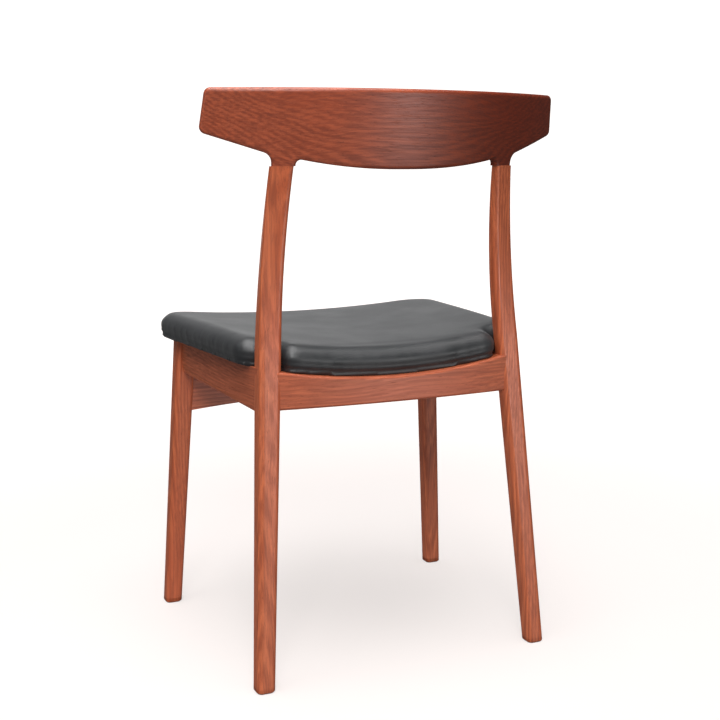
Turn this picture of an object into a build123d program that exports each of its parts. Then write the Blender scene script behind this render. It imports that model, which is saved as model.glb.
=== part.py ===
# A wooden dining chair: four raked legs, four rails, a bowed backrest and a dished upholstered seat.
# Millimetres. +Z is up, the sitter faces -Y and +X is on the sitter's left. The origin is on the
# floor, in the middle of the chair's box.
from build123d import *
import os
from math import atan2, cos, degrees, radians, sin, sqrt

# ---- driving dimensions ----
chair_height = 780

# Back legs: straight and raked up to the bend, then curved backwards to meet the backrest.
back_foot_x, back_foot_y = 206.7, 202.5
back_lean_in, back_rake = 0.0638, 0.1085      # sideways and forwards, per unit of height
back_top_lean_in = 0.0735                     # sideways, above the bend
back_bend_height, back_bend_radius = 448, 745
back_leg_top = 683                            # the seam with the backrest
back_foot_width, back_foot_depth = 25.6, 26
back_rail_width, back_rail_depth = 30.5, 28.5  # at the rails
back_top_width, back_top_depth = 31, 14
back_top_turn = 18.8                          # degrees, to lie along the backrest's curve

# Front legs: straight, splayed and raked forwards.
front_foot_x, front_foot_y = 230.5, -165
front_lean_in, front_rake = 0.0597, 0.0449
front_foot_size, front_top_size = 25.8, 29.5
front_leg_stock = 430                         # before its top is cut to the dish
foot_corner, leg_corner, top_corner = 8, 6.5, 5
# Each leg's inner front corner is softer than its other three.
foot_soft_corner, leg_soft_corner, top_soft_corner = 9.5, 12.5, 6.5
foot_bevel = 2

# The seat rests on a dished surface, nearly level in front and hollow behind.
dish_reach, dish_half_width = 240, 260        # where its two end curves are drawn
dish_front_middle, dish_front_side = 411.5, 425.5
dish_back_middle, dish_back_side = 402, 443
dish_room = 80                                # cleared above it for the seat

# Rails
rail_thickness, rail_stock = 22, 440          # rail_stock: before their tops are cut to the dish
rail_overlap, rail_housing = 1, 14            # how far a side rail's line runs into its legs
rail_back_face = 5                            # from a side rail line's rear end to the leg's face
side_rail_front = (214, -133.3)               # its outer face, at the front leg and at the back leg
side_rail_back = (195.6, 149)
side_rail_low_front, side_rail_low_back = 372, 364
side_rail_corner = 18                         # the rounded lower corner beside the front leg
back_rail_rear, back_rail_radius, back_rail_low, back_rail_half = 181.2, 1600, 368, 172
front_rail_rear, front_rail_low, front_rail_arch, front_rail_half = -140.3, 310, 9.5, 203
rail_rounding = 3
rail_middle = 395

# Backrest: a bowed panel that leans back, with a tongue down to each leg.
backrest_radius, backrest_thickness = 500, 14
backrest_lean = 0.16
backrest_top_half, backrest_low_half = 254, 259.6
backrest_wing_low = 725.5                     # lower corners of its ends
wing_slope = 0.31
backrest_belly = 678.6                        # the lower edge in the middle
belly_flat_half = 12                          # level in the middle, then rising in an arc
belly_shoulder = 692.5                        # the lower edge beside a tongue
end_corner, edge_rounding = 9, 5
tongue_outer_blend, tongue_inner_blend = 13, 7
tongue_spare = 20                             # cut back to the seam once its edges are rounded
blank_low, blank_high, blank_depth = 610, 850, 160
past_middle = 30                              # how far each half's outline crosses the middle

# Seat
seat_front, seat_front_corner_y = -214.4, -209
seat_front_half, seat_back_half = 239.5, 208
seat_notch_y, seat_notch_x = 138, 159         # clear of the back legs
seat_rear_side, seat_rear_middle = 164.7, 167.7
seat_corner, notch_outer_corner, notch_inner_corner, rear_corner = 58, 24, 6, 18
seat_blank_low, seat_blank_height = 380, 110
cover_thickness, board_thickness, foam_thickness = 1, 9.5, 25.5
foam_clearance = 0.2
foam_rounding = 16
hem_width = 52

# Hardware
dowel_diameter, dowel_length, dowel_in_leg = 8, 30, 13
dowel_chamfer = 0.8
side_dowel_heights = (382, 402)
back_dowel_heights = (380, 400)
front_dowel_heights = (338, 370)
backrest_dowel_diameter, backrest_dowel_length, backrest_dowel_spacing = 6, 36, 14
block_low, block_high = 378, 406
block_screw_height = 391.5
screw_diameter, screw_tip = 4.2, 5
screw_head, screw_head_depth = 8, 2.6
recess_length, recess_width, recess_depth = 4.4, 0.9, 1.6
block_screw_length, seat_screw_length = 40, 45
staple_crown, staple_leg, staple_wire = 10, 7, 0.9
staple_spacing, staple_from_hem_edge = 30, 5

CENTRED_DOWN = (Align.CENTER, Align.CENTER, Align.MAX)
CENTRED_UP = (Align.CENTER, Align.CENTER, Align.MIN)


def save(piece, name):
    """Name a finished piece and write it."""
    piece.label = name
    export_step(piece, f"parts/{name}.step")


def save_pair(left, name):
    """Write a piece of the sitter's left side and its mirror image."""
    save(left, f"{name}_left")
    with BuildPart() as right:
        mirror(left, about=Plane.YZ)
    save(right.part, f"{name}_right")
    return right.part


# ---- where the legs run ----
def back_leg_axis(height):
    """Centre of a back leg's section at a height, on the sitter's left."""
    bend = max(0, height - back_bend_height)
    x = back_foot_x - back_lean_in * height - (back_top_lean_in - back_lean_in) * bend
    y = back_foot_y - back_rake * height + bend**2 / (2 * back_bend_radius)
    return x, y


def front_leg_axis(height):
    """Centre of a front leg's section at a height, on the sitter's left."""
    return front_foot_x - front_lean_in * height, front_foot_y + front_rake * height


def blend(start, end, share):
    return start + (end - start) * share


# ---- the dished surface under the seat ----
def dish_curve(middle, side, lift):
    """The dish's curve across the chair, raised by lift."""
    return ThreePointArc(
        (-dish_half_width, side + lift), (0, middle + lift), (dish_half_width, side + lift)
    )


def dish_slab(low, high):
    """The layer from low to high above the dish, wider and longer than the seat."""
    with BuildPart() as slab:
        ends = (
            (dish_reach, dish_front_middle, dish_front_side),
            (-dish_reach, dish_back_middle, dish_back_side),
        )
        for offset_y, middle, side in ends:
            with BuildSketch(Plane.XZ.offset(offset_y)):
                with BuildLine():
                    lower = dish_curve(middle, side, low)
                    upper = dish_curve(middle, side, high)
                    Line(lower @ 0, upper @ 0)
                    Line(lower @ 1, upper @ 1)
                make_face()
        loft(ruled=True)
    return slab.part


def dish_height(x, y):
    """Height of the dished surface."""
    share = (y + dish_reach) / (2 * dish_reach)
    heights = []
    for middle, side in (
        (dish_front_middle, dish_front_side), (dish_back_middle, dish_back_side)
    ):
        rise = side - middle
        radius = (dish_half_width**2 + rise**2) / (2 * rise)
        heights.append(middle + radius - sqrt(radius**2 - x**2))
    return blend(*heights, share)


seat_space = dish_slab(0, dish_room)


# ---- hardware shapes ----
def dowel_group(places, diameter, length):
    """Dowels with rounded-off ends. A place is the dowel's middle and its direction."""
    with BuildPart() as dowels:
        for middle, direction in places:
            axis_plane = Plane(origin=middle, z_dir=direction)
            with BuildSketch(axis_plane.offset(-length / 2)):
                Circle(diameter / 2)
            extrude(amount=length)
        chamfer(dowels.edges().filter_by(GeomType.CIRCLE), dowel_chamfer)
    return dowels.part


def holes_for(places, diameter, length):
    """Plain drillings that a group of dowels fills."""
    with BuildPart() as holes:
        for middle, direction in places:
            with BuildSketch(Plane(origin=middle, z_dir=direction).offset(-length / 2)):
                Circle(diameter / 2)
            extrude(amount=length)
    return holes.part


def mirrored_places(places):
    """The same places on both sides of the chair."""
    both = list(places)
    for (x, y, z), (dx, dy, dz) in places:
        both.append(((-x, y, z), (-dx, dy, dz)))
    return both


def screw_body(length):
    """The drilling that a countersunk screw fills, along +Z with its head's face at the origin."""
    with BuildPart() as body:
        with BuildSketch(Plane.XZ):
            with BuildLine():
                Polyline(
                    (0, 0), (screw_head / 2, 0), (screw_diameter / 2, screw_head_depth),
                    (screw_diameter / 2, length - screw_tip), (0, length), (0, 0),
                )
            make_face()
        revolve(axis=Axis.Z)
    return body.part


def wood_screw(length):
    """A countersunk screw with a cross recess."""
    with BuildPart() as screw:
        add(screw_body(length))
        for turn in (0, 90):
            with Locations(Location((0, 0, 0), (0, 0, turn))):
                Box(recess_length, recess_width, recess_depth, align=CENTRED_UP, mode=Mode.SUBTRACT)
    return screw.part


# ---- side rail line ----
rail_run_x = side_rail_back[0] - side_rail_front[0]
rail_run_y = side_rail_back[1] - side_rail_front[1]
rail_run = sqrt(rail_run_x**2 + rail_run_y**2)
rail_direction = (rail_run_x / rail_run, rail_run_y / rail_run, 0)
rail_outward = (rail_direction[1], -rail_direction[0], 0)


def on_side_rail(along, inward, height):
    """A point of the left side rail: along its run, in from its outer face, and its height."""
    x = side_rail_front[0] + rail_direction[0] * along - rail_outward[0] * inward
    y = side_rail_front[1] + rail_direction[1] * along - rail_outward[1] * inward
    return x, y, height


# ---- where the dowels lie, on the sitter's left ----
dowel_reach = dowel_length / 2 - dowel_in_leg
side_front_dowels = [
    (on_side_rail(dowel_reach, rail_thickness / 2, height), rail_direction)
    for height in side_dowel_heights
]
side_back_dowels = [
    (on_side_rail(rail_run - rail_back_face - dowel_reach, rail_thickness / 2, height), rail_direction)
    for height in side_dowel_heights
]
back_rail_dowel_places = []
for height in back_dowel_heights:
    face_x = back_leg_axis(height)[0] - back_rail_width / 2
    middle_x = face_x - dowel_reach
    rear_y = back_rail_rear - back_rail_radius + sqrt(back_rail_radius**2 - middle_x**2)
    back_rail_dowel_places.append(((middle_x, rear_y - rail_thickness / 2, height), (1, 0, 0)))
front_rail_dowel_places = []
for height in front_dowel_heights:
    face_x = front_leg_axis(height)[0] - front_top_size / 2
    middle_x = face_x - dowel_reach
    front_rail_dowel_places.append(
        ((middle_x, front_rail_rear - rail_thickness / 2, height), (1, 0, 0))
    )
seam_x, seam_y = back_leg_axis(back_leg_top)
seam_across = (cos(radians(back_top_turn)), -sin(radians(back_top_turn)))
backrest_dowel_places = []
for side in (-0.5, 0.5):
    shift = side * backrest_dowel_spacing
    middle = (seam_x + seam_across[0] * shift, seam_y + seam_across[1] * shift, back_leg_top)
    backrest_dowel_places.append((middle, (-back_top_lean_in, backrest_lean, 1)))

# ---- where the screws lie, on the sitter's left ----
front_block_outline = [(206, -142), (132, -140.3), (188, -75)]
back_block_outline = [(184, 163), (106, 156.7), (180, 79)]
seat_screw_places = [(155, -126), (135, 140)]


def block_screw_place(outline):
    """Start and direction of the screw through a corner block: square to its long face."""
    corner, first, second = outline
    middle = ((first[0] + second[0]) / 2, (first[1] + second[1]) / 2)
    across = (second[0] - first[0], second[1] - first[1])
    normal = (-across[1], across[0])
    if normal[0] * (corner[0] - middle[0]) + normal[1] * (corner[1] - middle[1]) < 0:
        normal = (-normal[0], -normal[1])
    size = sqrt(normal[0] ** 2 + normal[1] ** 2)
    return (*middle, block_screw_height), (normal[0] / size, normal[1] / size, 0)


block_screws = [block_screw_place(front_block_outline), block_screw_place(back_block_outline)]
seat_screws = [((x, y, block_low), (0, 0, 1)) for x, y in seat_screw_places]


def placed(shape, places):
    """Copies of a shape that points along +Z, one at each place."""
    with BuildPart() as group:
        for start, direction in places:
            with Locations(Plane(origin=start, z_dir=direction).location):
                add(shape)
    return group.part


block_screw_holes = placed(screw_body(block_screw_length), block_screws)
seat_screw_holes = placed(screw_body(seat_screw_length), mirrored_places(seat_screws))
side_dowel_holes = holes_for(
    side_front_dowels + side_back_dowels, dowel_diameter, dowel_length
)
back_rail_holes = holes_for(
    mirrored_places(back_rail_dowel_places), dowel_diameter, dowel_length
)
front_rail_holes = holes_for(
    mirrored_places(front_rail_dowel_places), dowel_diameter, dowel_length
)
backrest_holes = holes_for(
    mirrored_places(backrest_dowel_places), backrest_dowel_diameter, backrest_dowel_length
)

os.makedirs("parts", exist_ok=True)


def leg_section(across, width, depth, corner, soft_corner):
    """A leg's section on the plane across it, with its softer corner inside and in front."""
    with BuildSketch(across) as section:
        Rectangle(width, depth)
        fillet(section.vertices().sort_by(Axis((0, 0, 0), (1, 1, 0)))[1:], corner)
        soft_place = (-width / 2, -depth / 2, 0)
        fillet(section.vertices().sort_by_distance(soft_place)[0], soft_corner)
    return section.sketch


def back_leg_section(height, inset=0):
    """A back leg's section: square with round corners below, flat and turned at the top."""
    x, y = back_leg_axis(height)
    low_share = min(1, height / back_bend_height)
    top_share = max(0, (height - back_bend_height) / (back_leg_top - back_bend_height))
    width = blend(blend(back_foot_width, back_rail_width, low_share), back_top_width, top_share)
    depth = blend(blend(back_foot_depth, back_rail_depth, low_share), back_top_depth, top_share)
    corner = blend(blend(foot_corner, leg_corner, low_share), top_corner, top_share)
    soft = blend(blend(foot_soft_corner, leg_soft_corner, low_share), top_soft_corner, top_share)
    turn = radians(back_top_turn * top_share)
    across = Plane(origin=(x, y, height), x_dir=(cos(turn), -sin(turn), 0), z_dir=(0, 0, 1))
    return leg_section(across, width - 2 * inset, depth - 2 * inset, corner - inset, soft - inset)


def front_leg_section(height, inset=0):
    """A front leg's section."""
    share = height / front_leg_stock
    size = blend(front_foot_size, front_top_size, share) - 2 * inset
    corner = blend(foot_corner, leg_corner, share) - inset
    soft = blend(foot_soft_corner, leg_soft_corner, share) - inset
    return leg_section(Plane(origin=(*front_leg_axis(height), height)), size, size, corner, soft)


# ---- back legs: a bevelled foot, the straight rake, then the bend ----
with BuildPart() as back_leg_stock:
    loft([back_leg_section(0, foot_bevel), back_leg_section(foot_bevel)], ruled=True)
    loft([back_leg_section(foot_bevel), back_leg_section(back_bend_height)], ruled=True)
    bend_steps = 4
    bend_rise = (back_leg_top - back_bend_height) / bend_steps
    loft([back_leg_section(back_bend_height + step * bend_rise) for step in range(bend_steps + 1)])

with BuildPart() as back_leg_left:
    add(back_leg_stock.part)
    for holes in (side_dowel_holes, back_rail_holes, backrest_holes, block_screw_holes):
        add(holes, mode=Mode.SUBTRACT)
save_pair(back_leg_left.part, "back_leg")

# ---- front legs ----
with BuildPart() as front_leg_stock_part:
    loft([front_leg_section(0, foot_bevel), front_leg_section(foot_bevel)], ruled=True)
    loft([front_leg_section(foot_bevel), front_leg_section(front_leg_stock)], ruled=True)
    add(seat_space, mode=Mode.SUBTRACT)

with BuildPart() as front_leg_left:
    add(front_leg_stock_part.part)
    for holes in (side_dowel_holes, front_rail_holes, block_screw_holes):
        add(holes, mode=Mode.SUBTRACT)
save_pair(front_leg_left.part, "front_leg")

# ---- all four legs, to fit the rails' ends to them ----
with BuildPart() as four_legs:
    for leg in (back_leg_stock.part, front_leg_stock_part.part):
        add(leg)
        mirror(leg, about=Plane.YZ)

# ---- side rails ----
with BuildPart() as side_rail_left:
    outer_face = Plane(origin=(*side_rail_front, 0), x_dir=rail_direction, z_dir=rail_outward)
    with BuildSketch(outer_face) as side_profile:
        with BuildLine():
            Polyline(
                (-rail_overlap, side_rail_low_front),
                (rail_run + rail_housing, side_rail_low_back),
                (rail_run + rail_housing, rail_stock), (-rail_overlap, rail_stock),
                (-rail_overlap, side_rail_low_front),
            )
        make_face()
        front_corner = side_profile.vertices().group_by(Axis.X)[0].sort_by(Axis.Y)[0]
        fillet(front_corner, side_rail_corner)
    extrude(amount=-rail_thickness)
    outer = side_rail_left.faces().sort_by(SortBy.AREA)[-2:].sort_by(Axis.X)[-1]
    fillet([edge for edge in outer.edges() if edge.center().Z < rail_middle], rail_rounding)
    add(seat_space, mode=Mode.SUBTRACT)
    add(four_legs.part, mode=Mode.SUBTRACT)
    add(side_dowel_holes, mode=Mode.SUBTRACT)
save_pair(side_rail_left.part, "side_rail")

# ---- back rail ----
with BuildPart() as back_rail:
    half = back_rail_half
    with BuildSketch(Plane.XY.offset(back_rail_low)):
        with BuildLine():
            rear_sag = back_rail_radius - sqrt(back_rail_radius**2 - half**2)
            rear = ThreePointArc(
                (-half, back_rail_rear - rear_sag), (0, back_rail_rear),
                (half, back_rail_rear - rear_sag),
            )
            inner = ThreePointArc(
                (-half, back_rail_rear - rail_thickness - rear_sag),
                (0, back_rail_rear - rail_thickness),
                (half, back_rail_rear - rail_thickness - rear_sag),
            )
            Line(rear @ 0, inner @ 0)
            Line(rear @ 1, inner @ 1)
        make_face()
    extrude(amount=rail_stock - back_rail_low)
    add(seat_space, mode=Mode.SUBTRACT)
    long_edges = [edge for edge in back_rail.edges() if edge.length > 2 * half]
    fillet(long_edges, rail_rounding)
    add(four_legs.part, mode=Mode.SUBTRACT)
    add(back_rail_holes, mode=Mode.SUBTRACT)
save(back_rail.part, "back_rail")

# ---- front rail ----
with BuildPart() as front_rail:
    half = front_rail_half
    with BuildSketch(Plane.XZ.offset(-front_rail_rear)):
        with BuildLine():
            arch = ThreePointArc(
                (-half, front_rail_low), (0, front_rail_low + front_rail_arch),
                (half, front_rail_low),
            )
            Polyline(arch @ 1, (half, rail_stock), (-half, rail_stock), arch @ 0)
        make_face()
    extrude(amount=rail_thickness)
    add(seat_space, mode=Mode.SUBTRACT)
    add(four_legs.part, mode=Mode.SUBTRACT)
    add(front_rail_holes, mode=Mode.SUBTRACT)
save(front_rail.part, "front_rail")

# ---- backrest ----
slant = sqrt(1 + backrest_lean**2)
seam_rear = seam_y + backrest_thickness / 2 / cos(radians(back_top_turn))
backrest_rear = seam_rear + slant * (backrest_radius - sqrt(backrest_radius**2 - seam_x**2))
tongue_half = back_top_width / 2
tongue_low = back_leg_top - tongue_spare


def on_backrest(x, height):
    """A point of the rear face, seen square to the tongue: along the tongue's width, and up."""
    bow = slant * (backrest_radius - sqrt(backrest_radius**2 - x**2))
    rear_y = backrest_rear + backrest_lean * (height - back_leg_top) - bow
    return (x - seam_x) * seam_across[0] + (rear_y - seam_rear) * seam_across[1], height


with BuildPart() as side_waste:
    tongue_plane = Plane(
        origin=(seam_x, seam_rear, 0),
        x_dir=(*seam_across, 0),
        z_dir=(seam_across[1], -seam_across[0], 0),
    )
    top_middle = on_backrest(-past_middle, chair_height)
    top_end = on_backrest(backrest_top_half, chair_height)
    wing_end = on_backrest(backrest_low_half, backrest_wing_low)
    wing_root = (tongue_half, backrest_wing_low - wing_slope * (wing_end[0] - tongue_half))
    belly_end = (-tongue_half, belly_shoulder)
    belly_flat = on_backrest(belly_flat_half, backrest_belly)
    with BuildSketch(tongue_plane):
        with Locations((0, (blank_low + blank_high) / 2)):
            Rectangle(2 * backrest_radius, blank_high - blank_low)
        with BuildSketch(tongue_plane, mode=Mode.SUBTRACT) as outline:
            with BuildLine():
                Polyline(
                    top_middle, top_end, wing_end, wing_root, (tongue_half, tongue_low),
                    (-tongue_half, tongue_low), belly_end,
                )
                Polyline(top_middle, on_backrest(-past_middle, backrest_belly), belly_flat)
                TangentArc(belly_flat, belly_end, tangent=(1, 0))
            make_face()
            for place, radius in (
                (top_end, end_corner),
                (wing_end, end_corner),
                (wing_root, tongue_outer_blend),
                (belly_end, tongue_inner_blend),
            ):
                fillet(outline.vertices().sort_by_distance((*place, 0))[0], radius)
    extrude(amount=blank_depth, both=True)
    split(bisect_by=Plane.YZ, keep=Keep.TOP)

with BuildPart() as backrest:
    leaning_plane = Plane(
        origin=(0, backrest_rear, back_leg_top), x_dir=(1, 0, 0), z_dir=(0, backrest_lean, 1)
    )
    with BuildSketch(leaning_plane.offset(-2 * tongue_spare)):
        with Locations((0, -backrest_radius)):
            Circle(backrest_radius)
            Circle(backrest_radius - backrest_thickness, mode=Mode.SUBTRACT)
        with Locations((0, -backrest_radius - blank_depth)):
            Rectangle(2 * backrest_radius, 2 * backrest_radius, mode=Mode.SUBTRACT)
    extrude(amount=blank_high - back_leg_top)
    add(side_waste.part, mode=Mode.SUBTRACT)
    mirror(side_waste.part, about=Plane.YZ, mode=Mode.SUBTRACT)
    rims = []
    for face in backrest.faces().sort_by(SortBy.AREA)[-2:]:
        rims += [edge for edge in face.edges() if edge.center().Z > tongue_low + edge_rounding]
    fillet(rims, edge_rounding)
    with Locations((seam_x, 0, back_leg_top), (-seam_x, 0, back_leg_top)):
        waste_size = (2 * back_top_width, 2 * backrest_radius, 3 * tongue_spare)
        Box(*waste_size, align=CENTRED_DOWN, mode=Mode.SUBTRACT)
    add(backrest_holes, mode=Mode.SUBTRACT)
save(backrest.part, "backrest")

# ---- seat ----
def seat_outline(grow):
    """The seat's outline from above, notched round the back legs, grown all round."""
    with BuildSketch() as outline:
        with BuildLine():
            front = ThreePointArc(
                (-seat_front_half, seat_front_corner_y), (0, seat_front),
                (seat_front_half, seat_front_corner_y),
            )
            Polyline(
                front @ 1, (seat_back_half, seat_notch_y), (seat_notch_x, seat_notch_y),
                (seat_notch_x, seat_rear_side),
            )
            Polyline(
                front @ 0, (-seat_back_half, seat_notch_y), (-seat_notch_x, seat_notch_y),
                (-seat_notch_x, seat_rear_side),
            )
            ThreePointArc(
                (-seat_notch_x, seat_rear_side), (0, seat_rear_middle), (seat_notch_x, seat_rear_side)
            )
        make_face()
        for x, y, radius in (
            (seat_front_half, seat_front_corner_y, seat_corner),
            (seat_back_half, seat_notch_y, notch_outer_corner),
            (seat_notch_x, seat_notch_y, notch_inner_corner),
            (seat_notch_x, seat_rear_side, rear_corner),
        ):
            for side in (-1, 1):
                fillet(outline.vertices().sort_by_distance((side * x, y, 0))[0], radius)
        if grow:
            offset(amount=grow)
    return outline.sketch


def seat_layer(low, high, grow, rounding=0):
    """The seat's part from low to high above the dish, with its upper edge rounded."""
    with BuildPart() as layer:
        with BuildSketch(Plane.XY.offset(seat_blank_low)):
            add(seat_outline(grow))
        extrude(amount=seat_blank_height)
        add(dish_slab(low, high), mode=Mode.INTERSECT)
        if rounding:
            top_face = layer.faces().filter_by(lambda f: f.normal_at().Z > 0.8)[0]
            fillet(top_face.edges(), rounding)
    return layer.part


board_low = cover_thickness
board_high = board_low + board_thickness
foam_high = board_high + foam_thickness
cover_high = foam_high + cover_thickness

with BuildPart() as seat_board:
    add(seat_layer(board_low, board_high, -foam_clearance))
    add(seat_screw_holes, mode=Mode.SUBTRACT)
save(seat_board.part, "seat_board")

with BuildPart() as seat_foam:
    add(seat_layer(board_high, foam_high, -foam_clearance, foam_rounding))
save(seat_foam.part, "seat_foam")

with BuildPart() as seat_cover:
    add(seat_layer(0, cover_high, cover_thickness, foam_rounding + cover_thickness))
    add(seat_layer(board_low, foam_high + foam_clearance, 0, foam_rounding), mode=Mode.SUBTRACT)
    add(seat_layer(-cover_thickness, board_high, -hem_width), mode=Mode.SUBTRACT)
    add(seat_screw_holes, mode=Mode.SUBTRACT)
save(seat_cover.part, "seat_cover")

# ---- corner blocks ----
with BuildPart() as four_rails:
    for rail in (side_rail_left.part, back_rail.part, front_rail.part):
        add(rail)
for name, outline in (("front", front_block_outline), ("back", back_block_outline)):
    with BuildPart() as block:
        with BuildSketch(Plane.XY.offset(block_low)):
            with BuildLine():
                Polyline(*outline, outline[0])
            make_face()
        extrude(amount=block_high - block_low)
        add(four_rails.part, mode=Mode.SUBTRACT)
        for waste in (four_legs.part, side_dowel_holes, block_screw_holes, seat_screw_holes):
            add(waste, mode=Mode.SUBTRACT)
    fitted_block = block.part.solids().sort_by(SortBy.VOLUME)[-1]
    save_pair(fitted_block, f"corner_block_{name}")

# ---- screws and dowels ----
for name, length, places in (
    ("corner_block_screws", block_screw_length, block_screws),
    ("seat_screws", seat_screw_length, seat_screws),
):
    save(placed(wood_screw(length), mirrored_places(places)), name)

side_dowels = side_front_dowels + side_back_dowels
save_pair(dowel_group(side_dowels, dowel_diameter, dowel_length), "side_rail_dowels")
for name, places, diameter, length in (
    ("back_rail_dowels", back_rail_dowel_places, dowel_diameter, dowel_length),
    ("front_rail_dowels", front_rail_dowel_places, dowel_diameter, dowel_length),
    ("backrest_dowels", backrest_dowel_places, backrest_dowel_diameter, backrest_dowel_length),
):
    save(dowel_group(mirrored_places(places), diameter, length), name)

# ---- staples that hold the cover's hem up to the board ----
with BuildPart() as staple:
    Box(staple_crown, staple_wire, staple_wire, align=CENTRED_DOWN)
    for side in (-1, 1):
        with Locations((side * (staple_crown - staple_wire) / 2, 0, 0)):
            Box(staple_wire, staple_wire, staple_leg, align=CENTRED_UP)

with BuildSketch() as hem_line:
    add(seat_outline(staple_from_hem_edge - hem_width))
staple_path = hem_line.face().outer_wire()
staple_count = round(staple_path.length / staple_spacing)
with BuildPart() as seat_staples:
    for index in range(staple_count):
        share = (index + 0.5) / staple_count
        place = staple_path.position_at(share)
        along = staple_path.tangent_at(share)
        turn = degrees(atan2(along.Y, along.X))
        behind_front_rail = place.Y - front_rail_rear
        if -rail_thickness - staple_crown < behind_front_rail < staple_crown:
            continue                          # the rail's top is in the way
        under_hem = (place.X, place.Y, dish_height(place.X, place.Y))
        with Locations(Location(under_hem, (0, 0, turn))):
            add(staple.part)
save(seat_staples.part, "seat_staples")
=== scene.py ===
# %% [markdown]
# # A dining chair in oiled teak with a black leatherette seat
#
# The joiner's pieces (legs, rails, backrest, blocks and dowels) come from the CAD model, which fixes every
# size. This lesson dresses them: each wood gets its own grain, the seat gets a stretched cover, and the
# screws and staples become real hardware. Everything is in metres, +Z up, and the sitter faces -Y.

from math import cos, exp, pi, sin, sqrt, tanh

import bmesh
import bpy
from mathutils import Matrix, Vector, noise
from mathutils.bvhtree import BVHTree


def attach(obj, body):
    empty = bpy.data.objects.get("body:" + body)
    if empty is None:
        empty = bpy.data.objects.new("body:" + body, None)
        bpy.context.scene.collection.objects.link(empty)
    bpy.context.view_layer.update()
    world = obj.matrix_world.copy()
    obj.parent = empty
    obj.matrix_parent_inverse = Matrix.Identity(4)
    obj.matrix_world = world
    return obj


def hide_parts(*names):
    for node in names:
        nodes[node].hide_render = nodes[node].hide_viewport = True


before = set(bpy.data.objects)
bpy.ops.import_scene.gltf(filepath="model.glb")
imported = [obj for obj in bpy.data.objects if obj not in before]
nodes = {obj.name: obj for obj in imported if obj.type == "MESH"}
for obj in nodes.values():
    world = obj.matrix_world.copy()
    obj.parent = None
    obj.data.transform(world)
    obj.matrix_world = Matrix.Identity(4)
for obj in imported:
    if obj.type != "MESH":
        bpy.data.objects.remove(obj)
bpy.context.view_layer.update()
scene = bpy.context.scene
print("nodes:", ", ".join(sorted(nodes)))

# %% [markdown]
# ## Camera
#
# The camera stands a few paces behind the chair, a little to its left, and looks down on it gently with a
# moderately long lens. A long lens keeps the legs from spreading, so it suits the legs' true rake. The
# camera could be aimed with a Track To constraint; here its direction is turned into a rotation once,
# because nothing moves later.

# %% Camera
view_direction = Vector((-0.4018, -0.8998, -0.1694))
camera_data = bpy.data.cameras.new("studio_camera")
camera_data.lens = 59.4
camera_data.sensor_width = 36
camera = bpy.data.objects.new("studio_camera", camera_data)
camera.location = (0.6915, 1.5979, 0.696)
camera.rotation_mode = "QUATERNION"
camera.rotation_quaternion = view_direction.to_track_quat("-Z", "Y")
scene.collection.objects.link(camera)
scene.camera = camera
print("camera is", round(camera.location.length, 2), "m from the chair's foot")

# %% [markdown]
# ## Helpers for meshes and materials
#
# Every new piece starts as a bmesh, which is a mesh that operators may edit, and ends as an object at the
# origin with its place in its vertices. A material is a tree of nodes: `add` makes one node with its
# values set, and feeds named inputs from other nodes' outputs.

# %% Mesh helpers
def finish_mesh(bm, name, smooth=True):
    """Turns a bmesh into an object at the origin."""
    mesh = bpy.data.meshes.new(name)
    bm.to_mesh(mesh)
    bm.free()
    for face in mesh.polygons:
        face.use_smooth = smooth
    piece = bpy.data.objects.new(name, mesh)
    scene.collection.objects.link(piece)
    return piece


def merged_copy(*names):
    """A bmesh with the CAD nodes' meshes, their loose triangles joined."""
    bm = bmesh.new()
    for name in names:
        bm.from_mesh(nodes[name].data)
    bmesh.ops.remove_doubles(bm, verts=bm.verts, dist=1e-5)
    return bm


# %% Material helpers
def add(tree, kind, feeds=None, **settings):
    """Makes a node. Settings are its properties; feeds are values or sockets for its inputs."""
    node = tree.nodes.new(kind)
    for key, value in settings.items():
        setattr(node, key, value)
    for key, value in (feeds or {}).items():
        if isinstance(value, bpy.types.NodeSocket):
            tree.links.new(value, node.inputs[key])
        else:
            node.inputs[key].default_value = value
    return node


def new_material(name):
    """A material with a fresh Principled shader, and the object's own coordinates."""
    material = bpy.data.materials.new(name)
    material.use_nodes = True
    tree = material.node_tree
    tree.nodes.clear()
    shader = add(tree, "ShaderNodeBsdfPrincipled")
    output = add(tree, "ShaderNodeOutputMaterial")
    tree.links.new(shader.outputs[0], output.inputs[0])
    place = add(tree, "ShaderNodeTexCoord").outputs["Object"]
    return material, tree, shader, place


def stretched(tree, vector, scale, location=(0, 0, 0), rotation=(0, 0, 0)):
    """Coordinates turned, moved and scaled."""
    turn = add(tree, "ShaderNodeMapping", {"Vector": vector, "Rotation": rotation, "Location": location})
    size = add(tree, "ShaderNodeVectorMath", {0: turn.outputs[0], 1: scale}, operation="MULTIPLY")
    return size.outputs[0]


def cloud(tree, vector, scale=1.0, detail=2.0, roughness=0.5, distortion=0.0):
    """Soft random values between 0 and 1."""
    feeds = {"Vector": vector, "Scale": scale, "Detail": detail, "Roughness": roughness}
    return add(tree, "ShaderNodeTexNoise", {**feeds, "Distortion": distortion}).outputs[0]


def remap(tree, value, low, high, to_low=0.0, to_high=1.0):
    """Spreads the part of a value between low and high over a new range."""
    feeds = {0: value, 1: low, 2: high, 3: to_low, 4: to_high}
    return add(tree, "ShaderNodeMapRange", feeds, interpolation_type="SMOOTHSTEP").outputs[0]


def blend(tree, share, first, second, how="MIX"):
    """Mixes two colours."""
    node = add(tree, "ShaderNodeMix", {0: share, 6: first, 7: second}, data_type="RGBA", blend_type=how)
    return node.outputs[2]


def calc(tree, how, first, second):
    """One step of arithmetic on two values."""
    return add(tree, "ShaderNodeMath", {0: first, 1: second}, operation=how).outputs[0]


def tone(red, green, blue):
    return (red, green, blue, 1)


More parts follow.
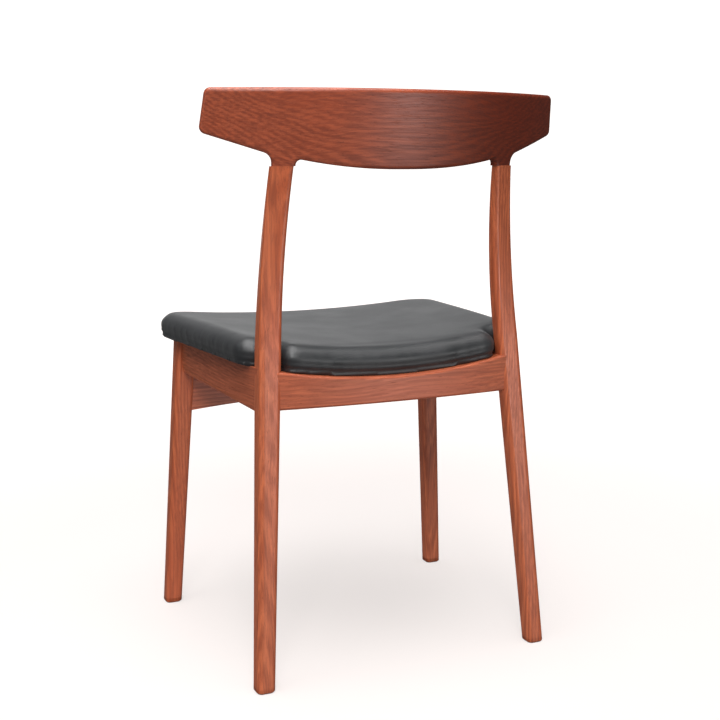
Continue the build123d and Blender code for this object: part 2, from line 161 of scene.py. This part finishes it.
# %% [markdown]
# ## Studio
#
# The floor is a sheet of pale paper that curves up behind the chair, so that no horizon shows. A grid is
# bent by raising its far end along an arc. The paper glows as painted light, more the further it is from the
# chair, so it burns out to white behind; the dimmer glow near the chair is painted shade that deepens the
# soft shadow the chair casts on the floor. It is kept out of the wood's reflections, as black flags beside
# a real set would do.

# %% Paper sweep
floor_half, wall_start, wall_radius, wall_height = 6.0, 3.2, 1.6, 5.0
sheet_columns, sheet_rows = 24, 96
shadow_glow, white_glow = 0.655, 1.12         # its glow near the chair and far from it
glow_near, glow_far = 0.5, 2.5                # where the one turns into the other, in metres
away = Vector((view_direction.x, view_direction.y, 0)).normalized()
bm = bmesh.new()
bmesh.ops.create_grid(bm, x_segments=sheet_columns, y_segments=sheet_rows, size=floor_half)
for vertex in bm.verts:
    distance = (vertex.co.y + floor_half) / (2 * floor_half) * (floor_half + wall_start + wall_height)
    along = distance - floor_half
    past = max(0, along - wall_start)
    turn = min(past / wall_radius, pi / 2)
    reach = min(along, wall_start) + wall_radius * sin(turn)
    rise = wall_radius * (1 - cos(turn)) + max(0, past - wall_radius * pi / 2)
    side = Vector((-away.y, away.x, 0)) * vertex.co.x
    vertex.co = away * reach + side + Vector((0, 0, rise))
bmesh.ops.recalc_face_normals(bm, faces=bm.faces)
paper = finish_mesh(bm, "paper_sweep")
paper_material, tree, shader, place = new_material("studio_paper")
shader.inputs["Base Color"].default_value = tone(0.30, 0.272, 0.262)
shader.inputs["Roughness"].default_value = 0.9
shader.inputs["Specular IOR Level"].default_value = 0.1
shader.inputs["Emission Color"].default_value = tone(1, 0.957, 0.938)
# Painted light: the paper glows, and the dimmer glow near the chair is painted shade round it.
distance = add(tree, "ShaderNodeVectorMath", {0: place}, operation="LENGTH").outputs["Value"]
glow = remap(tree, distance, glow_near, glow_far, shadow_glow, white_glow)
tree.links.new(glow, shader.inputs["Emission Strength"])
paper.data.materials.append(paper_material)
paper.visible_glossy = False
paper.visible_diffuse = False
print("sweep:", len(paper.data.polygons), "faces")

# %% [markdown]
# Soft boxes light the set: a very wide one overhead, a key behind the camera's left shoulder that
# lets the right half of the bowed backrest fall into shade, and a narrow one that draws a bright line
# down the legs' rounded arrises. A low box behind adds a sheen to whatever faces straight back, a wide one
# in front shows only in glancing reflections on the seat, the floor throws some light up under the seat,
# and a dim even sky fills the rest.

# %% Soft boxes
def soft_box(name, place, aim, size, power):
    light = bpy.data.lights.new(name, "AREA")
    light.shape = "RECTANGLE"
    light.size, light.size_y = size
    light.energy = power
    box = bpy.data.objects.new(name, light)
    box.location = place
    box.rotation_mode = "QUATERNION"
    box.rotation_quaternion = (Vector(aim) - Vector(place)).to_track_quat("-Z", "Y")
    scene.collection.objects.link(box)
    return box


soft_box("overhead_box", (0.35, 0.3, 2.9), (0, 0, 0.4), (2.4, 2.4), 115)
soft_box("key_box", (1.35, 3.0, 2.5), (0, 0, 0.5), (1.3, 1.3), 80)
arris_box = soft_box("arris_box", (2.6, 1.0, 1.2), (0, 0, 0.5), (0.3, 1.6), 7)
arris_box.visible_diffuse = False
sheen_box = soft_box("sheen_box", (-1.35, 3.1, 0.35), (0, 0, 0.6), (0.8, 0.8), 24)
sheen_box.visible_diffuse = False
backdrop_box = soft_box("backdrop_box", (-1.4, -3.0, 1.0), (0, 0, 0.4), (4.0, 2.0), 26)
backdrop_box.visible_diffuse = False
backdrop_box.visible_camera = False
floor_glow = soft_box("floor_glow", (0, 0.1, 0.005), (0, 0.1, 1), (2.2, 2.2), 9)
floor_glow.visible_camera = False
floor_glow.visible_glossy = False

sky = bpy.data.worlds.new("sky")
sky.use_nodes = True
sky.node_tree.nodes["Background"].inputs[0].default_value = tone(1, 1, 1)
sky.node_tree.nodes["Background"].inputs[1].default_value = 0.10
scene.world = sky
scene.view_settings.view_transform = "Standard"

# %% [markdown]
# ## Teak
#
# Solid wood has its pattern all the way through: growth rings round the heart of the tree, fibres along
# it, and short dark pores. So the material is a solid texture on the object's own coordinates, with the
# grain laid along each piece, and a bowed piece then shows the flowing arches of a sawn board by itself.
# An image of veneer would need unwrapping and would show seams at every arris.

# %% Teak material
def teak(name, turn, offset, light, dark, warm, tint_nodes=None):
    """Oiled teak. turn lays the grain, which runs along X in the pattern, along the piece."""
    material, tree, shader, place = new_material(name)
    lay = stretched(tree, place, (1, 1, 1), offset, turn)
    drift = cloud(tree, stretched(tree, lay, (2.2, 8, 8)), detail=2)
    ripple = cloud(tree, stretched(tree, lay, (9, 22, 22)), detail=2)
    sway = calc(tree, "ADD", calc(tree, "MULTIPLY", drift, 0.045), calc(tree, "MULTIPLY", ripple, 0.004))
    shift = add(tree, "ShaderNodeCombineXYZ", {0: 0.0, 1: sway, 2: sway}).outputs[0]
    bent = add(tree, "ShaderNodeVectorMath", {0: lay, 1: shift}, operation="ADD").outputs[0]

    rings = add(tree, "ShaderNodeTexWave",
                {"Vector": stretched(tree, bent, (0.1, 1, 1)), "Scale": 62.0, "Distortion": 1.0,
                 "Detail": 3.0, "Detail Scale": 0.5, "Detail Roughness": 0.65},
                wave_type="RINGS", rings_direction="X", wave_profile="SIN").outputs["Fac"]
    fibre = cloud(tree, stretched(tree, bent, (7, 420, 420)), detail=4, roughness=0.6)
    streak = cloud(tree, stretched(tree, bent, (2.0, 105, 105)), detail=4, roughness=0.6)
    pores = remap(tree, cloud(tree, stretched(tree, lay, (60, 1250, 1250)), detail=2), 0.60, 0.72)
    figure = cloud(tree, stretched(tree, bent, (1.8, 12, 12), (3.1, 0.4, 1.7)), detail=3)

    band = calc(tree, "ADD", calc(tree, "MULTIPLY", rings, 0.15), calc(tree, "MULTIPLY", streak, 0.47))
    band = calc(tree, "ADD", band, calc(tree, "MULTIPLY", fibre, 0.38))
    colour = blend(tree, remap(tree, band, 0.32, 0.66), light, dark)
    colour = blend(tree, calc(tree, "MULTIPLY", remap(tree, figure, 0.42, 0.66), 0.45), colour, warm)
    shade = remap(tree, fibre, 0.3, 0.72, 1.10, 0.86)
    colour = blend(tree, 1.0, colour, shade, "MULTIPLY")
    colour = blend(tree, calc(tree, "MULTIPLY", pores, 0.4), colour, tone(0.055, 0.014, 0.006))
    if tint_nodes:
        colour = tint_nodes(tree, place, colour)
    tree.links.new(colour, shader.inputs["Base Color"])

    gloss = calc(tree, "ADD", remap(tree, fibre, 0.3, 0.7, 0.33, 0.43), calc(tree, "MULTIPLY", pores, 0.2))
    tree.links.new(gloss, shader.inputs["Roughness"])
    relief = calc(tree, "SUBTRACT", calc(tree, "MULTIPLY", fibre, 0.35), pores)
    bump = add(tree, "ShaderNodeBump", {"Strength": 0.3, "Distance": 0.0002, "Height": relief})
    tree.links.new(bump.outputs[0], shader.inputs["Normal"])
    shader.inputs["Specular IOR Level"].default_value = 0.45
    shader.inputs["Coat Weight"].default_value = 0.06
    shader.inputs["Coat Roughness"].default_value = 0.3
    return material


along_x, along_y, along_z = (0, 0, 0), (0, 0, -pi / 2), (0, pi / 2, 0)

# %% [markdown]
# The legs are a lighter, more orange board than the backrest, and no two of them have the same figure, so
# each takes its grain from another place in the tree. The grain runs upright in each leg.

# %% Legs
leg_light = tone(0.55, 0.140, 0.056)
leg_dark = tone(0.36, 0.080, 0.031)
leg_warm = tone(0.52, 0.100, 0.036)
leg_places = {
    "back_leg_left": (0.3, 0.11, 0.07),
    "back_leg_right": (1.9, -0.16, 0.12),
    "front_leg_left": (2.7, 0.21, -0.14),
    "front_leg_right": (4.3, -0.07, -0.22),
}


def dress(name, material):
    """Puts a material on a CAD node."""
    nodes[name].data.materials.clear()
    nodes[name].data.materials.append(material)


for name, offset in leg_places.items():
    dress(name, teak("teak_" + name, along_z, offset, leg_light, leg_dark, leg_warm))
print("legs dressed:", len(leg_places))

# %% [markdown]
# The rails are cut from the same boards. Side rails run front to back, the front and back rails across.

# %% Rails
rail_light = tone(0.50, 0.130, 0.056)
rail_dark = tone(0.33, 0.075, 0.031)
rail_warm = tone(0.48, 0.098, 0.038)
rail_lay = {
    "side_rail_left": (along_y, (0.5, 0.19, 0.05)),
    "side_rail_right": (along_y, (1.4, -0.12, 0.16)),
    "back_rail": (along_x, (0.8, 0.17, 0.11)),
    "front_rail": (along_x, (2.2, -0.18, 0.08)),
}
for name, (turn, offset) in rail_lay.items():
    dress(name, teak("teak_" + name, turn, offset, rail_light, rail_dark, rail_warm))

# %% [markdown]
# The backrest is sawn from a thick plank of darker teak. Its right half turns away from the key light, and a
# tint paints more shade onto it, deepening the colour from one end to the other.

# %% Backrest
def painted_shade_to_the_right(tree, place, colour):
    """Painted shade: deepens the colour towards the sitter's right, where the bowed backrest turns from the
    key light.
    """
    split = add(tree, "ShaderNodeSeparateXYZ", {0: place}).outputs[0]
    share = remap(tree, split, 0.10, -0.17)
    # Painted shade: a darker tone multiplied in over the half that turns away from the key light.
    return blend(tree, share, colour, blend(tree, 1.0, colour, tone(0.40, 0.27, 0.19), "MULTIPLY"))


back_light = tone(0.40, 0.086, 0.036)
back_dark = tone(0.25, 0.048, 0.020)
back_warm = tone(0.37, 0.066, 0.026)
dress("backrest", teak("teak_backrest", along_x, (0.15, 0.02, -0.66), back_light, back_dark, back_warm,
                       tint_nodes=painted_shade_to_the_right))

# %% [markdown]
# ## Inside woods, foam and steel
#
# Corner blocks and dowels are pale beech, the seat board is plywood, and the pad under the cover is
# open-cell foam. They show only from below, but each still gets its own surface.

# %% Beech, plywood, foam and steel
def plain_wood(name, turn, light, dark, pore_depth=0.25):
    """A fine, even wood."""
    material, tree, shader, place = new_material(name)
    lay = stretched(tree, place, (1, 1, 1), (0.2, 0.5, 0.1), turn)
    fibre = cloud(tree, stretched(tree, lay, (12, 260, 260)), detail=4, roughness=0.6)
    flecks = remap(tree, cloud(tree, stretched(tree, lay, (120, 900, 300)), detail=1), 0.6, 0.7)
    colour = blend(tree, remap(tree, fibre, 0.3, 0.7), light, dark)
    colour = blend(tree, calc(tree, "MULTIPLY", flecks, pore_depth), colour, dark)
    tree.links.new(colour, shader.inputs["Base Color"])
    shader.inputs["Roughness"].default_value = 0.6
    bump = add(tree, "ShaderNodeBump", {"Strength": 0.3, "Distance": 0.0002, "Height": fibre})
    tree.links.new(bump.outputs[0], shader.inputs["Normal"])
    return material


def plies(name, light, dark):
    """Plywood, seen on its rotary-cut face veneer."""
    material, tree, shader, place = new_material(name)
    fibre = cloud(tree, stretched(tree, place, (120, 8, 120)), detail=4, roughness=0.6)
    colour = blend(tree, remap(tree, fibre, 0.3, 0.7), light, dark)
    knots = remap(tree, cloud(tree, stretched(tree, place, (14, 3, 14)), detail=3), 0.55, 0.75)
    colour = blend(tree, calc(tree, "MULTIPLY", knots, 0.5), colour, dark)
    tree.links.new(colour, shader.inputs["Base Color"])
    shader.inputs["Roughness"].default_value = 0.68
    bump = add(tree, "ShaderNodeBump", {"Strength": 0.35, "Distance": 0.0002, "Height": fibre})
    tree.links.new(bump.outputs[0], shader.inputs["Normal"])
    return material


def foam_cells(name, colour):
    """Open-cell foam: tiny pits all over."""
    material, tree, shader, place = new_material(name)
    cells = add(tree, "ShaderNodeTexVoronoi", {"Vector": place, "Scale": 900.0}).outputs["Distance"]
    red, green, blue, _ = colour
    deep = tone(red * 0.6, green * 0.55, blue * 0.4)
    shades = blend(tree, remap(tree, cells, 0.1, 0.6), colour, deep)
    tree.links.new(shades, shader.inputs["Base Color"])
    shader.inputs["Roughness"].default_value = 0.95
    bump = add(tree, "ShaderNodeBump", {"Strength": 0.6, "Distance": 0.0006, "Height": cells})
    tree.links.new(bump.outputs[0], shader.inputs["Normal"])
    return material


def zinc_steel(name):
    """Bright zinc-plated steel with fine scuffs."""
    material, tree, shader, place = new_material(name)
    scuffs = cloud(tree, stretched(tree, place, (600, 600, 90)), detail=4)
    tree.links.new(remap(tree, scuffs, 0.3, 0.7, 0.22, 0.42), shader.inputs["Roughness"])
    colour = blend(tree, scuffs, tone(0.72, 0.71, 0.66), tone(0.56, 0.57, 0.56))
    tree.links.new(colour, shader.inputs["Base Color"])
    shader.inputs["Metallic"].default_value = 1.0
    return material


beech = plain_wood("beech_blocks", along_x, tone(0.62, 0.42, 0.24), tone(0.46, 0.29, 0.15))
dowel_beech = plain_wood("beech_dowels", along_y, tone(0.66, 0.47, 0.28), tone(0.50, 0.33, 0.18))
board_ply = plies("seat_plywood", tone(0.60, 0.42, 0.25), tone(0.42, 0.27, 0.14))
pad_foam = foam_cells("seat_foam_cells", tone(0.78, 0.70, 0.50))
steel = zinc_steel("zinc_steel")
for name in nodes:
    if name.startswith("corner_block_") and name != "corner_block_screws":
        dress(name, beech)
    elif name.endswith("dowels") or "_dowels_" in name:
        dress(name, dowel_beech)
dress("seat_board", board_ply)
dress("seat_foam", pad_foam)
for name in ("corner_block_screws", "seat_screws", "seat_staples"):
    dress(name, steel)

# %% [markdown]
# ## Seat cover
#
# A drop-in seat is upholstered upside down: the leatherette is laid face down, the board with its foam is
# set on it, and the edges are pulled round and stapled beneath. The foam pushes back, so the cover swells
# between the board's edge and the crown, and the board's upper arris shows as a line all round.
#
# A copy of the pad is remeshed into even squares, the part that the board holds is pinned, and air pressure
# swells the rest for twenty frames. Free air pressure balloons the pad far more than a tight cover would,
# so only outward movement is kept and it is capped: nearly two thirds of the free points reach the cap,
# and nearly a third don't move. Curves then set the wall's bulge and the top's crown, and most of the shape.

# %% Pad blank for the simulation
voxel = 0.0045
board_top = 0.0095
pad = finish_mesh(merged_copy("seat_board", "seat_foam"), "pad_blank")
remesh = pad.modifiers.new("even_squares", "REMESH")
remesh.mode, remesh.voxel_size = "VOXEL", voxel


def settle(piece):
    """Applies a piece's modifiers."""
    evaluated = piece.evaluated_get(bpy.context.evaluated_depsgraph_get())
    mesh = bpy.data.meshes.new_from_object(evaluated)
    piece.modifiers.clear()
    piece.data = mesh
    return piece


settle(pad)
under_tree = BVHTree.FromBMesh(merged_copy("seat_board"))


def under_height(x, y):
    """Height of the board's underside, straight above a point on the floor."""
    found = under_tree.ray_cast(Vector((x, y, 0)), Vector((0, 0, 1)))[0]
    return found.z if found else None


def height_on_wall(point, normal, inset=0.008):
    """How far a point is above the board's underside beside it."""
    level = under_height(point.x - normal.x * inset, point.y - normal.y * inset)
    return 0.02 if level is None else point.z - level


print("blank:", len(pad.data.vertices), "points")

# %% Swell it
pinned_height, free_height = board_top, 0.016
last_frame = 20
group = pad.vertex_groups.new(name="held_by_board")
start = [v.co.copy() for v in pad.data.vertices]
normals = [v.normal.copy() for v in pad.data.vertices]
heights = [height_on_wall(p, n) for p, n in zip(start, normals)]
for index, height in enumerate(heights):
    hold = 1 - min(1, max(0, (height - pinned_height) / (free_height - pinned_height)))
    group.add([index], hold, "REPLACE")

cover_gap = 0.0011
pushes = [0.0] * len(start)
cloth = pad.modifiers.new("stretch", "CLOTH")
cloth.settings.quality = 4
cloth.settings.use_pressure = True
cloth.settings.uniform_pressure_force = 6
cloth.settings.vertex_group_mass = "held_by_board"
cloth.settings.tension_stiffness = 12
cloth.settings.compression_stiffness = 12
cloth.settings.bending_stiffness = 1
cloth.settings.effector_weights.gravity = 0
cloth.collision_settings.use_collision = False
cloth.point_cache.frame_start, cloth.point_cache.frame_end = 1, last_frame
for step in range(1, last_frame + 1):
    scene.frame_set(step)
evaluated = pad.evaluated_get(bpy.context.evaluated_depsgraph_get())
pushes = [(v.co - s).dot(n) for v, s, n in zip(evaluated.data.vertices, start, normals)]
pad.modifiers.clear()
scene.frame_set(1)
print("largest push of the foam:", round(max(pushes) * 1000, 1), "mm")

swell_share, swell_most, dome_rise = 0.25, 0.0006, 0.0016
wall_bulge, bulge_height, bulge_reach = 0.0036, 0.0185, 0.0085
crown_half_x, crown_half_y, crown_fullness = 0.235, 0.19, 1.4
arris_fill = 0.0018                           # the remesh blunts the board's lower arris by this much
for vertex, origin, push, normal, height in zip(pad.data.vertices, start, pushes, normals, heights):
    level = sqrt(max(0, 1 - normal.z**2))
    swell = swell_most * tanh(max(0, push) * swell_share / swell_most)
    bulge = level * wall_bulge * exp(-((height - bulge_height) / bulge_reach) ** 2)
    inwards = max(0, 1 - (origin.x / crown_half_x) ** 2) * max(0, 1 - (origin.y / crown_half_y) ** 2)
    dome = max(0, normal.z) * dome_rise * min(1, crown_fullness * inwards)
    arris = arris_fill * 4 * level**2 * normal.z**2 if normal.z < 0 else 0
    vertex.co = origin + normal * (cover_gap + swell + bulge + dome + arris)

# %% [markdown]
# One subdivision rounds the small squares, smoothing takes out the steps that a remesh leaves on slopes, and
# every point is kept clear of the board and the foam, so that neither shows through.

# %% Smooth it and keep it clear of the pad
smoothing_rounds = 6
skin_gap, arris_gap = 0.0010, 0.0013          # clear of flat faces, and how much more at the lower arris
round_off = pad.modifiers.new("round_off", "SUBSURF")
round_off.levels = round_off.render_levels = 1
settle(pad)
bm = bmesh.new()
bm.from_mesh(pad.data)
every_axis = {"use_axis_x": True, "use_axis_y": True, "use_axis_z": True}
for _ in range(smoothing_rounds):
    bmesh.ops.smooth_vert(bm, verts=bm.verts, factor=0.5, **every_axis)
bm.normal_update()
pad_tree = BVHTree.FromBMesh(merged_copy("seat_board", "seat_foam"))
pushed_out = 0
for vertex in bm.verts:
    nearest, outward, _, _ = pad_tree.find_nearest(vertex.co)
    drop = min(0, vertex.normal.z)
    gap = skin_gap + arris_gap * 4 * (1 - drop**2) * drop**2
    short = gap - (vertex.co - nearest).dot(outward)
    if short > 0:
        vertex.co += outward * short
        pushed_out += 1
bm.to_mesh(pad.data)
bm.free()
pad.data.update()
print("points kept clear of the pad:", pushed_out)

# %% [markdown]
# Then come the marks that squares this coarse can't hold: the ridge where the board's arris is felt, and
# the faint upright pulls that the staples make every few centimetres.

# %% Ridge and pulls
ridge_rise, ridge_width = 0.0012, 0.0019
pull_depth, pull_spacing = 0.0005, 0.027
pull_middle, pull_reach = 0.012, 0.030        # the height where they are deepest, and how far they fade
side_phase = 0.4                              # so that the sides' pulls don't start in step with the back's
steepest, least_level = 0.8, 0.3              # faces that lie flatter than this have no pulls


def bell(offset, width):
    return exp(-(offset / width) ** 2)


changes = []
for vertex in pad.data.vertices:
    normal, point = vertex.normal, vertex.co
    level = Vector((normal.x, normal.y, 0))
    if abs(normal.z) > steepest or level.length < least_level:
        continue
    height = height_on_wall(point, level.normalized())
    push = ridge_rise * bell(height - board_top, ridge_width)
    along = point.x if abs(normal.y) > abs(normal.x) else point.y + side_phase
    wobble = noise.noise(Vector((point.x * 14, point.y * 14, 2.0)))
    wave = cos(2 * pi * along / pull_spacing + 2.2 * wobble)
    fade = max(0, 1 - abs(height - pull_middle) / pull_reach)
    push += pull_depth * max(0, wave) * (0.6 + 0.6 * wobble) * fade
    changes.append((vertex.index, level.normalized() * push * level.length))
for index, change in changes:
    pad.data.vertices[index].co += change
print("marked points on the wall:", len(changes))

# %% [markdown]
# Underneath, only a hem turns in under the board. The middle of the blank's underside is cut away where
# it lies further in than the hem of the CAD cover, its edge is drawn onto that hem's edge, and the sheet
# that is left gets its thickness.

# %% Cut the hem and give the cover its thickness
cover_thickness = 0.0009
cover_tree = BVHTree.FromBMesh(merged_copy("seat_cover"))
bm = bmesh.new()
bm.from_mesh(pad.data)
facing_down, beyond = -0.75, 0.0022
under = [f for f in bm.faces if f.normal.z < facing_down]
middle = [f for f in under if cover_tree.find_nearest(f.calc_center_median())[3] > beyond]
bmesh.ops.delete(bm, geom=middle, context="FACES")
loose = [v for v in bm.verts if not v.link_faces]
bmesh.ops.delete(bm, geom=loose, context="VERTS")
rim = {v for e in bm.edges if e.is_boundary for v in e.verts}
for vertex in rim:
    nearest = cover_tree.find_nearest(vertex.co)[0]
    vertex.co.x, vertex.co.y = nearest.x, nearest.y
for _ in range(3):
    smoothed = {}
    for vertex in rim:
        around = [e.other_vert(vertex).co for e in vertex.link_edges if e.is_boundary]
        smoothed[vertex] = sum(around, Vector()) / len(around)
    for vertex, middle_point in smoothed.items():
        vertex.co = vertex.co.lerp(middle_point, 0.5)
bmesh.ops.recalc_face_normals(bm, faces=bm.faces)
cover = finish_mesh(bm, "seat_cover_leatherette")
bpy.data.objects.remove(pad)
wall = cover.modifiers.new("skin", "SOLIDIFY")
wall.thickness, wall.offset = cover_thickness, -1
settle(cover)
low = min(v.co.z for v in cover.data.vertices)
high = max(v.co.z for v in cover.data.vertices)
print("cover:", len(cover.data.polygons), "faces, from", round(low, 4), "to", round(high, 4), "m")

# %% [markdown]
# Black leatherette is satin: a soft highlight over very fine pebbles, a little greyer in soft random
# patches.
# Voronoi cells of about a millimetre make the pebbles.

# %% Leatherette
material, tree, shader, place = new_material("black_leatherette")
pebbles = add(tree, "ShaderNodeTexVoronoi", {"Vector": place, "Scale": 950.0, "Randomness": 0.9},
              feature="SMOOTH_F1").outputs["Distance"]
creases = cloud(tree, place, 420, detail=3, roughness=0.6)
wear = cloud(tree, place, 16, detail=3)
colour = blend(tree, remap(tree, wear, 0.35, 0.7), tone(0.009, 0.0105, 0.012), tone(0.018, 0.019, 0.021))
tree.links.new(colour, shader.inputs["Base Color"])
gloss = calc(tree, "ADD", remap(tree, wear, 0.3, 0.7, 0.40, 0.48), calc(tree, "MULTIPLY", creases, 0.08))
tree.links.new(gloss, shader.inputs["Roughness"])
relief = calc(tree, "ADD", calc(tree, "MULTIPLY", pebbles, -0.8), calc(tree, "MULTIPLY", creases, 0.5))
bump = add(tree, "ShaderNodeBump", {"Strength": 0.35, "Distance": 0.0003, "Height": relief})
tree.links.new(bump.outputs[0], shader.inputs["Normal"])
shader.inputs["Specular IOR Level"].default_value = 0.75
shader.inputs["Sheen Weight"].default_value = 0.06
shader.inputs["Sheen Roughness"].default_value = 0.45
cover.data.materials.clear()
cover.data.materials.append(material)
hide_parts("seat_cover")
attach(cover, "root")
